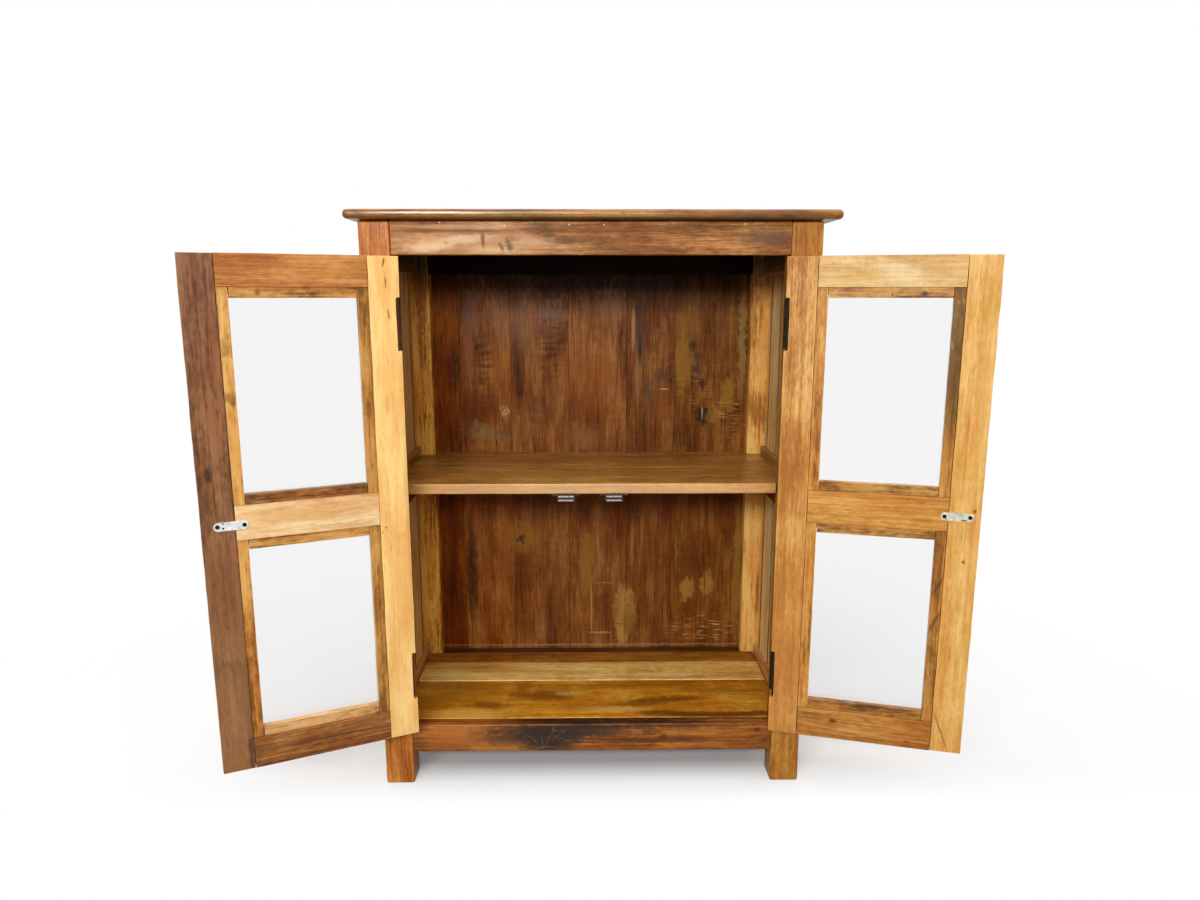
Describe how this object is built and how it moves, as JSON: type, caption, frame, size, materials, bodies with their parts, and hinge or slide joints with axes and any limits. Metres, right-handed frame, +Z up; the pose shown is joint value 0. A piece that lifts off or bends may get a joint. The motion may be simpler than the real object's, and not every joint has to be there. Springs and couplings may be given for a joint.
{
  "type": "glass-front cabinet",
  "caption": "Low wooden display cabinet with framed side panels, an inner shelf and a pair of glazed doors that swing on butt hinges and close on magnetic catches.",
  "frame": {"origin": "on the floor, midway between the four posts", "axes": "+Z up, the glazed front faces -Y, +X is the right-hand side seen from the front"},
  "size_m": [1.2401, 0.5612, 1.016],
  "materials": {
    "post_wood": "satin varnish over reclaimed hardwood",
    "rail_wood": "satin varnish over reclaimed hardwood",
    "side_wood": "satin varnish over reclaimed hardwood",
    "back_wood": "satin varnish over reclaimed hardwood",
    "top_wood": "satin varnish over reclaimed hardwood",
    "shelf_wood": "satin varnish over reclaimed hardwood",
    "floor_wood": "satin varnish over reclaimed hardwood",
    "cleat_wood": "sawn hardwood",
    "pale_door_wood": "satin varnish over reclaimed hardwood",
    "tan_door_wood": "satin varnish over reclaimed hardwood",
    "dark_door_wood": "satin varnish over reclaimed hardwood",
    "bead_wood": "satin varnish over reclaimed hardwood",
    "knob_wood": "turned and varnished hardwood",
    "window_glass": "clear float glass",
    "hinge_iron": "dark oxidised iron",
    "zinc_steel": "bright zinc plate",
    "screw_steel": "darkened steel",
    "catch_plastic": "moulded brown plastic",
    "ferrite": "sintered ferrite"
  },
  "bodies": {
    "carcass": {"back_boards": "back_wood", "back_bottom_rail": "back_wood", "back_left_post": "post_wood", "back_nails": "screw_steel", "back_right_post": "post_wood", "back_top_rail": "back_wood", "catch_magnets": "ferrite", "catch_poles": "zinc_steel", "floor_cleats": "cleat_wood", "floor_front_board": "floor_wood", "floor_middle_board": "floor_wood", "floor_rear_board": "floor_wood", "frame_screws": "screw_steel", "front_bottom_rail": "rail_wood", "front_left_post": "post_wood", "front_right_post": "post_wood", "front_top_rail": "rail_wood", "hinge_pins": "hinge_iron", "left_catch_housing": "catch_plastic", "left_frame_hinge_leaves": "hinge_iron", "left_side_bottom_rail": "side_wood", "left_side_lower_boards": "side_wood", "left_side_mid_rail": "side_wood", "left_side_top_rail": "side_wood", "left_side_upper_boards": "side_wood", "right_catch_housing": "catch_plastic", "right_frame_hinge_leaves": "hinge_iron", "right_side_bottom_rail": "side_wood", "right_side_lower_boards": "side_wood", "right_side_mid_rail": "side_wood", "right_side_top_rail": "side_wood", "right_side_upper_boards": "side_wood", "shelf": "shelf_wood", "shelf_cleats": "cleat_wood", "top_board": "top_wood"},
    "left_door": {"left_door_bottom_rail": "dark_door_wood", "left_door_glazing_beads": "bead_wood", "left_door_hinge_leaves": "hinge_iron", "left_door_hinge_stile": "pale_door_wood", "left_door_knob": "knob_wood", "left_door_lower_glass": "window_glass", "left_door_meeting_stile": "dark_door_wood", "left_door_mid_rail": "tan_door_wood", "left_door_screws": "screw_steel", "left_door_strike_plate": "zinc_steel", "left_door_top_rail": "tan_door_wood", "left_door_upper_glass": "window_glass"},
    "right_door": {"right_door_bottom_rail": "tan_door_wood", "right_door_glazing_beads": "bead_wood", "right_door_hinge_leaves": "hinge_iron", "right_door_hinge_stile": "tan_door_wood", "right_door_knob": "knob_wood", "right_door_lower_glass": "window_glass", "right_door_meeting_stile": "pale_door_wood", "right_door_mid_rail": "tan_door_wood", "right_door_screws": "screw_steel", "right_door_strike_plate": "zinc_steel", "right_door_top_rail": "tan_door_wood", "right_door_upper_glass": "window_glass"}
  },
  "joints": [
    {"name": "left_door_swing", "type": "hinge", "parent": "carcass", "child": "left_door", "pos_m": [-0.3225, -0.1966, 0], "axis": [0, 0, 1], "range_deg": [-25.3, 154.7]},
    {"name": "right_door_swing", "type": "hinge", "parent": "carcass", "child": "right_door", "pos_m": [0.3225, -0.1966, 0], "axis": [0, 0, 1], "range_deg": [-164.3, 15.7]}
  ]
}
